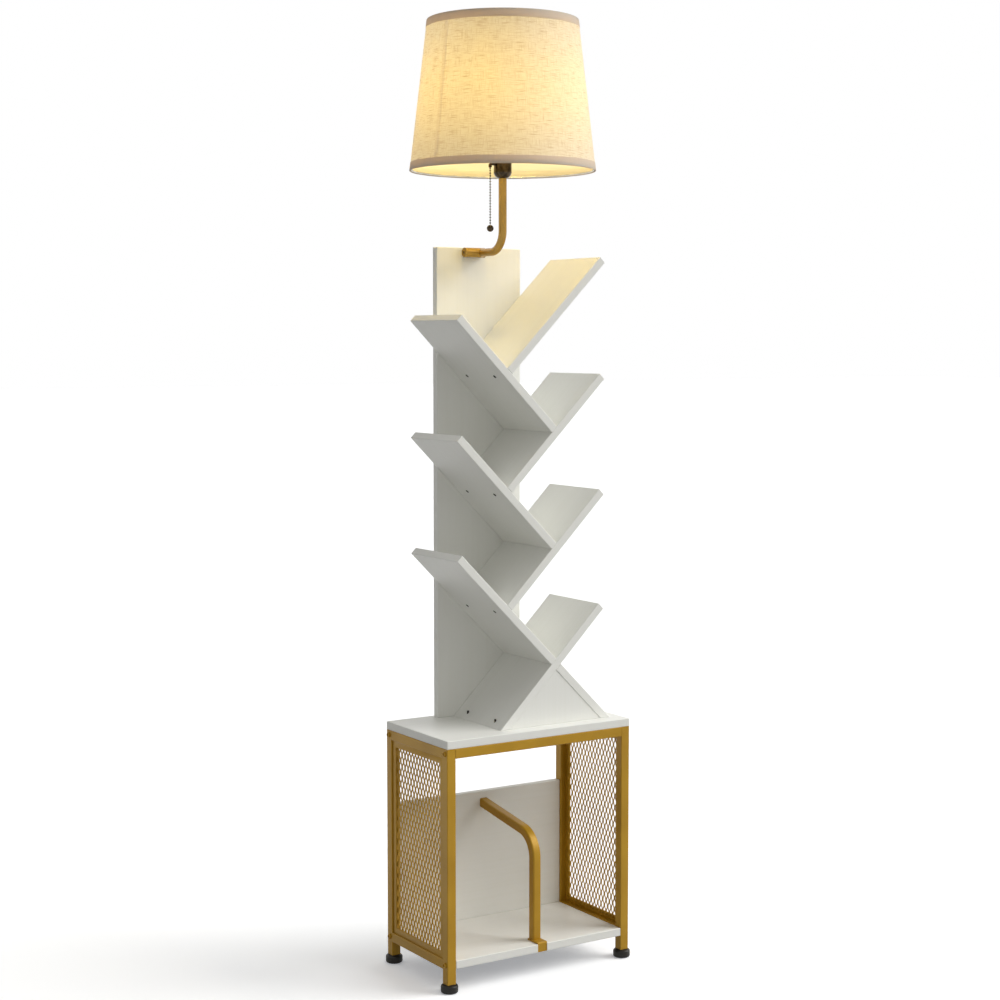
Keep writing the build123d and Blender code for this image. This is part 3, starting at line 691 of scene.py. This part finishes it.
# Beech dowels: pinkish brown with short flecks
BEECH = Moulded(
    name="planed_beech",
    light="#C9A077",
    deep="#B58A60",
    roughness=(0.5, 0.65),
    pebble=2.0 * MM,
    relief=0.12,
)


def dress(finish: Finish, *nodes: str) -> None:
    """Give CAD nodes a finish in place of their plain colour.

    Args:
        finish: The finish that they get.
        nodes: The nodes' names.
    """
    for name in nodes:
        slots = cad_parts[name].data.materials
        slots.clear()
        slots.append(finish.material())
        LOG.info("%s: %s", name, finish.name)


def settle(piece: Piece, finish: Finish, slot: str, *nodes: str) -> Piece:
    """Finish a new piece and put it in the place of the nodes that it stands for.

    Args:
        piece: The new piece.
        finish: The finish that it gets.
        slot: The name of a material slot; not used.
        nodes: The nodes that it replaces.

    Returns:
        The same piece.
    """
    piece.data.materials.append(finish.material())
    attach(piece, STAND)
    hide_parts(*nodes)
    LOG.info("%s: %d faces, %s", piece.name, len(piece.data.polygons), finish.name)
    return piece


@dataclass
class MeshPanel:
    """A side panel: a flat strip border with expanded metal behind it."""

    side: int
    outer_face: float = 197.5 * MM
    half_depth: float = 92.5 * MM
    low: float = 60 * MM
    high: float = 427 * MM
    strip_width: float = 12 * MM
    strip_thickness: float = 3 * MM
    strip_round: float = 0.6 * MM
    strip_points: int = 16
    lap: float = 6 * MM
    pitch: tuple[float, float] = (11 * MM, 22 * MM)
    strand_width: float = 2.3 * MM
    strand_thickness: float = 1.2 * MM
    strand_turn: float = 8.0
    strand_edge: float = 0.46  # share of its width at which a strand meets its neighbour's edge
    strand_depth: float = 0.75  # share of its thickness from the strip's back to its middle
    knuckle: float = 0.42  # share of a half cell that a knuckle takes up
    net_crease: float = 20.0

    def border(self) -> np.ndarray:
        """Carry the strip's rounded section round the panel, mitred at the corners.

        Each corner moves in from the outer edge by the same width in depth and height, so the section
        stays true along every side.

        Returns:
            Points of shape (corners, section, 3).
        """
        step = math.tau / self.strip_points
        turn = np.arange(0, math.tau, step) + step / 2
        across = np.sign(np.cos(turn)) * (self.strip_width / 2 - self.strip_round)
        across = self.strip_width / 2 + across + self.strip_round * np.cos(turn)
        through = np.sign(np.sin(turn)) * (self.strip_thickness / 2 - self.strip_round)
        through = -self.strip_thickness / 2 + through + self.strip_round * np.sin(turn)
        corner_y = np.array([-1, 1, 1, -1])[:, None]
        corner_z = np.array([-1, -1, 1, 1])[:, None]
        middle, half_height = (self.low + self.high) / 2, (self.high - self.low) / 2
        y = corner_y * (self.half_depth - across)
        z = middle + corner_z * (half_height - across)
        x = np.broadcast_to(self.side * (self.outer_face + through), y.shape)
        return np.stack([x, y, z], -1)

    def strands(self) -> np.ndarray:
        """Run zigzag strands up the panel so that each touches its neighbours in turn.

        A strand swings to either side as a triangle wave in height, flattened at its knuckles, far
        enough to lie edge to edge with its neighbour there, and every second strand swings the other
        way. Its flat section is turned a little, and both ends close to a point under the border.

        Returns:
            Points of shape (strands, steps, section, 3).
        """
        pitch_y, pitch_z = self.pitch
        reach_y = self.half_depth - self.strip_width + self.lap
        low = self.low + self.strip_width - self.lap
        high = self.high - self.strip_width + self.lap
        count = int(2 * reach_y / (pitch_y / 2))
        lines = (np.arange(count) - (count - 1) / 2) * pitch_y / 2
        # Two steps at each knuckle and none between, since the runs between knuckles are straight
        halves = int((high - low) / (pitch_z / 2))
        start = (low + high) / 2 - halves * pitch_z / 4
        knuckles = start + (np.arange(halves) + 0.5) * pitch_z / 2
        flat = self.knuckle * pitch_z / 4
        ends = np.stack([knuckles - flat, knuckles + flat], -1).ravel()
        z = np.concatenate([[low], ends, [high]])
        sign = np.concatenate([[0], np.repeat((-1.0) ** np.arange(halves), 2), [0]])
        reach = pitch_y / 4 - self.strand_width * self.strand_edge
        swing = np.where(np.arange(count) % 2, -1.0, 1.0)[:, None] * sign * reach
        turn = math.radians(self.strand_turn) * self.side
        half_w, half_t = self.strand_width / 2, self.strand_thickness / 2
        section_y = np.array([-half_w, half_w, half_w, -half_w])
        section_x = np.array([-half_t, -half_t, half_t, half_t])
        ring_y = section_y * math.cos(turn) - section_x * math.sin(turn)
        ring_x = section_y * math.sin(turn) + section_x * math.cos(turn)
        z = np.concatenate([z[:1], z, z[-1:]])
        swing = np.concatenate([swing[:, :1], swing, swing[:, -1:]], 1)
        size = np.ones(len(z))
        size[[0, -1]] = 0.0
        net = self.outer_face - self.strip_thickness - self.strand_thickness * self.strand_depth
        x = self.side * net + size[None, :, None] * ring_x
        y = lines[:, None, None] + swing[..., None] + size[None, :, None] * ring_y
        return np.stack(np.broadcast_arrays(x, y, z[None, :, None]), -1)

    def build(self) -> list[Piece]:
        """Make the border and the net, in place of the panel's solid.

        Returns:
            The border and the net.
        """
        word = "left" if self.side < 0 else "right"
        border = surface(f"{word}_panel_border", self.border(), closed=(True, True))
        net = surface(
            f"{word}_panel_net", self.strands(), closed=(False, True), crease=self.net_crease
        )
        panel = f"{word}_mesh_panel"
        return [settle(piece, GOLD_COAT, "gold_metal", panel) for piece in (border, net)]


@dataclass
class Cabinet:
    """The open cabinet that the tree stands on."""

    def build(self) -> list[Piece]:
        """Make the side panels and dress the frame, the boards and the feet.

        Returns:
            The new pieces.
        """
        dress(
            Melamine("melamine_level", Grain.LEVEL), "top_board", "bottom_shelf", "rear_stop_panel"
        )
        dress(
            GOLD_COAT,
            "left_side_frame",
            "right_side_frame",
            "front_top_rail",
            "rear_top_rail",
            "divider_bar",
            "divider_clip",
            "frame_bolts",
        )
        corners = ("front_left", "front_right", "rear_left", "rear_right")
        dress(FOOT_PLASTIC, *(f"foot_{corner}" for corner in corners))
        dress(ZINC_PLATE, "rail_end_plugs", "divider_plugs")
        dress(BAKELITE, "foot_inserts")
        dress(BLACK_OXIDE, "cabinet_screws")
        return MeshPanel(-1).build() + MeshPanel(1).build()


@dataclass
class ShelfTree:
    """The zigzag of sloping shelves and the board behind it."""

    def build(self) -> list[Piece]:
        """Dress every board along its own slope, and the screws and dowels.

        Returns:
            No new pieces.
        """
        dress(
            Melamine("melamine_rising", Grain.RISING),
            "right_shelf_foot",
            "right_shelf_lower",
            "right_shelf_upper",
            "right_shelf_top",
        )
        dress(
            Melamine("melamine_falling", Grain.FALLING),
            "left_shelf_lower",
            "left_shelf_upper",
            "left_shelf_top",
            "right_leg",
        )
        dress(Melamine("melamine_upright", Grain.UPRIGHT), "back_board", "foot_front_panel")
        dress(BLACK_OXIDE, "shelf_screws", "back_board_screws")
        dress(BEECH, "dowels")
        return []


@dataclass
class Shade:
    """The shade: a cone of linen with rolled hems and one lapped seam."""

    axis: tuple[float, float] = (-13 * MM, 0.0)
    bottom: float = 1478 * MM
    height: float = 272 * MM
    bottom_radius: float = 170.3 * MM
    top_radius: float = 138 * MM
    wall: float = 1.5 * MM
    hem: float = 15 * MM
    hem_proud: float = 0.6 * MM
    hem_ease: float = 1 * MM
    lap: float = 10 * MM
    lap_proud: float = 0.5 * MM
    lap_end: float = 12 * MM
    seam_angle: float = 191.0
    rim_points: int = 7
    rows: int = 12
    columns: int = 288

    def profile(self) -> tuple[np.ndarray, np.ndarray, np.ndarray, np.ndarray]:
        """Draw the cloth's cut: round the bottom rim, up outside, over the top rim, down inside.

        A rim is a half circle from the inner hem to the outer one. A wall is straight between its hems,
        and each hem eases into it in three steps.

        Returns:
            Distances out from the cone, heights above the bottom edge, lengths along the cloth (V),
            and 1 where the lap may lift the cloth.
        """
        out, inside = self.hem_proud, -self.wall - self.hem_proud
        rim = (out - inside) / 2
        arc = np.linspace(math.pi, math.tau, self.rim_points)
        rim_d = (out + inside) / 2 + rim * np.cos(arc)
        rim_h = rim + rim * np.sin(arc)
        start = self.hem + self.hem_ease
        rise = np.linspace(start, self.height - start, self.rows)
        ease = np.array([1.0, 0.75, 0.2]) * self.hem_proud
        step = np.array([-0.4, 0.0, 0.25]) * MM + self.hem
        wall_d = np.concatenate([ease, 0 * rise, ease[::-1]])
        wall_h = np.concatenate([step, rise, self.height - step[::-1]])
        plain = np.concatenate([0 * ease, 0 * rise + 1, 0 * ease])
        d = np.concatenate([rim_d, wall_d, rim_d[::-1], -self.wall - wall_d[::-1]])
        outer_h = np.concatenate([rim_h, wall_h, self.height - rim_h[::-1]])
        h = np.concatenate([outer_h, wall_h[::-1]])
        v = np.concatenate([outer_h, 2 * self.height - wall_h[::-1]])
        free = np.concatenate([0 * rim_d, plain, 0 * rim_d, 0 * plain])
        return d, h, v, free

    def build(self) -> list[Piece]:
        """Turn the cut round the lamp's axis, with the lap lifting its outer face at the seam.

        A point lies at the cone's radius for its height plus its distance out, at an angle that grows
        with the cloth's length round the middle of the shade.

        Returns:
            The shade.
        """
        d, h, v, free = self.profile()
        middle = (self.bottom_radius + self.top_radius) / 2
        girth = math.tau * middle
        # Columns stand close where the lap rises, runs on and falls, and evenly elsewhere
        seam = np.array([0.0, 0.5, 3.0, 6.0, 9.0, 9.6]) * MM
        even = np.linspace(self.lap_end, girth, self.columns, endpoint=False)
        length = np.concatenate([seam, even])
        lift = np.interp(length, seam, np.array([0, 1, 1, 1, 1, 0]) * self.lap_proud)
        angle = math.radians(self.seam_angle) + length / middle
        cone = self.bottom_radius + (self.top_radius - self.bottom_radius) * h / self.height
        radius = (cone + d)[:, None] + free[:, None] * lift
        x = self.axis[0] + radius * np.cos(angle)
        y = self.axis[1] + radius * np.sin(angle)
        z = np.broadcast_to((self.bottom + h)[:, None], x.shape)
        uv = (np.append(length, girth), np.append(v, 2 * self.height - h[0]))
        shade = surface("shade_cloth", np.stack([x, y, z], -1), closed=(True, True), uv=uv)
        linen = Linen("slub_linen_shade", self.height, self.hem, self.lap)
        settle(shade, linen, "shade_linen", "shade", "shade_bindings")
        return [shade]


@dataclass
class Lamp:
    """The arm, the socket with its pull chain, the bulb and what carries the shade."""

    def build(self) -> list[Piece]:
        """Dress the lamp's metal, ceramic and glass, and make its shade.

        Returns:
            The new pieces.
        """
        dress(BRASS_LACQUER, "lamp_arm", "arm_barrel")
        dress(
            DARK_BRONZE,
            "socket_cap",
            "socket_shell",
            "ring_nut",
            "chain_guide",
            "chain_link",
            "bead_chain",
            "pull_ball",
        )
        dress(BLACK_OXIDE, "arm_set_screw")
        dress(ZINC_PLATE, "harp", "shade_spider", "shade_bottom_ring", "lock_nut", "bulb_cap")
        dress(BRASS, "screw_sleeve", "centre_contact", "finial")
        dress(BAKELITE, "cord_gland", "switch_body")
        dress(PORCELAIN, "socket_core")
        dress(LIT_GLASS, "bulb_glass")
        return Shade().build()


@dataclass
class Studio:
    """A plain pale floor, soft light from the right, the lit bulb and the camera."""

    camera_place: tuple[float, float, float] = (-1.934, -3.015, 1.1737)
    camera_turn: float = 32.425
    camera_tilt: float = -4.784
    lens: float = 69.57
    sensor: float = 36.0
    far: float = 200.0
    shade_side: float = 0.11
    bright_side: float = 0.72
    bright_from: tuple[float, float, float] = (0.54, 0.0, 0.29)
    room_tint: str = "#FFFEF9"
    sun: float = 2.2
    sun_from: tuple[float, float, float] = (0.71, -0.385, 0.575)
    sun_size: float = 40.0
    floor_reach: float = 40.0
    floor_grey: str = "#9C9C9C"
    floor_glow: str = "#F4F7FF"
    floor_lift: float = 0.255
    floor_roughness: float = 0.9
    bulb_power: float = 4.6
    bulb_place: tuple[float, float, float] = (-24 * MM, -4 * MM, 1586 * MM)
    bulb_radius: float = 42 * MM
    bulb_colour: str = "#FFDC6E"

    def floor(self) -> Piece:
        """Lay a flat square of pale floor, lifted to white where it is seen, which keeps its shadow.

        Returns:
            The floor.
        """
        line = np.linspace(-self.floor_reach, self.floor_reach, 3)
        x, y = np.meshgrid(line, line, indexing="ij")
        floor = surface("floor", np.stack([x, y, 0 * x], -1), closed=(False, False))
        # Matt paper: plain white to the eye, and greyer in the light that it throws back
        made = bpy.data.materials.new("matt_paper_floor")
        made.use_nodes = True
        tree = made.node_tree
        tree.nodes.clear()
        seen = self.seen(tree)
        tone = add_node(
            tree,
            "ShaderNodeMix",
            {0: seen, 6: linear(self.floor_grey), 7: linear(WHITE)},
            data_type="RGBA",
        )
        paper = add_node(
            tree,
            "ShaderNodeBsdfPrincipled",
            {"Base Color": tone.outputs[2], "Roughness": self.floor_roughness},
        )
        lift = add_node(tree, "ShaderNodeMath", {0: seen, 1: self.floor_lift}, operation="MULTIPLY")
        white = add_node(
            tree,
            "ShaderNodeEmission",
            {"Color": linear(self.floor_glow), "Strength": lift.outputs[0]},
        )
        both = add_node(tree, "ShaderNodeAddShader", {0: paper.outputs[0], 1: white.outputs[0]})
        add_node(tree, "ShaderNodeOutputMaterial", {"Surface": both.outputs[0]})
        floor.data.materials.append(made)
        return floor

    @staticmethod
    def seen(tree: Tree) -> Socket:
        """Tell rays that show the background from rays that light the object.

        Args:
            tree: The node tree that asks.

        Returns:
            1 for camera, glossy and transmission rays, otherwise 0.
        """
        path = add_node(tree, "ShaderNodeLightPath")
        both = add_node(
            tree,
            "ShaderNodeMath",
            {0: path.outputs["Is Camera Ray"], 1: path.outputs["Is Glossy Ray"]},
            operation="MAXIMUM",
        )
        return add_node(
            tree,
            "ShaderNodeMath",
            {0: both.outputs[0], 1: path.outputs["Is Transmission Ray"]},
            operation="MAXIMUM",
        ).outputs[0]

    def world(self) -> None:
        """Light the scene softly, most from the right and above, and show white behind it."""
        world = bpy.data.worlds.new("pale_room")
        world.use_nodes = True
        tree = world.node_tree
        tree.nodes.clear()
        ray = add_node(tree, "ShaderNodeTexCoord").outputs["Generated"]
        side = add_node(
            tree,
            "ShaderNodeVectorMath",
            {0: ray, 1: Vector(self.bright_from).normalized()},
            operation="DOT_PRODUCT",
        )
        room_level = add_node(
            tree,
            "ShaderNodeMapRange",
            {
                "Value": side.outputs["Value"],
                "From Min": -1.0,
                "To Min": self.shade_side,
                "To Max": self.bright_side,
            },
        )
        seen = self.seen(tree)
        level = add_node(
            tree, "ShaderNodeMix", {0: seen, 2: room_level.outputs[0], 3: 1.0}, data_type="FLOAT"
        )
        tint = add_node(
            tree,
            "ShaderNodeMix",
            {0: seen, 6: linear(self.room_tint), 7: linear(WHITE)},
            data_type="RGBA",
        )
        room = add_node(
            tree, "ShaderNodeBackground", {"Color": tint.outputs[2], "Strength": level.outputs[0]}
        )
        add_node(tree, "ShaderNodeOutputWorld", {"Surface": room.outputs[0]})
        bpy.context.scene.world = world

    def lights(self) -> None:
        """Set the soft key light and the warm light of the bulb."""
        key = bpy.data.lights.new("key", "SUN")
        key.energy, key.angle = self.sun, math.radians(self.sun_size)
        lamp = bpy.data.objects.new("key", key)
        lamp.rotation_euler = Vector(self.sun_from).to_track_quat("Z", "Y").to_euler()
        bulb = bpy.data.lights.new("bulb_light", "POINT")
        bulb.energy, bulb.shadow_soft_size = self.bulb_power, self.bulb_radius
        bulb.color = linear(self.bulb_colour)[:3]
        glow = bpy.data.objects.new("bulb_light", bulb)
        glow.location = self.bulb_place
        glow.visible_camera = False
        for light in (lamp, glow):
            bpy.context.collection.objects.link(light)

    def camera(self) -> None:
        """Stand the camera where the photograph was taken from."""
        eye = bpy.data.cameras.new("camera")
        eye.lens, eye.sensor_width, eye.sensor_fit = self.lens, self.sensor, "HORIZONTAL"
        eye.clip_end = self.far
        camera = bpy.data.objects.new("camera", eye)
        camera.location = self.camera_place
        tilt, turn = math.radians(90 + self.camera_tilt), -math.radians(self.camera_turn)
        camera.rotation_euler = (tilt, 0.0, turn)
        bpy.context.collection.objects.link(camera)
        bpy.context.scene.camera = camera

    def build(self) -> None:
        """Set up the floor, the room, the lights, the camera and the plain view transform."""
        self.floor()
        self.world()
        self.lights()
        self.camera()
        bpy.context.scene.view_settings.view_transform = "Standard"


def main() -> None:
    """Build the cabinet, the tree, the lamp and the studio."""
    logging.basicConfig(level=logging.INFO, format="%(name)s %(message)s")
    for assembly in (Cabinet(), ShelfTree(), Lamp()):
        made = assembly.build()
        LOG.info("%s: %d new pieces", type(assembly).__name__, len(made))
    Studio().build()


if __name__ == "__main__":
    main()
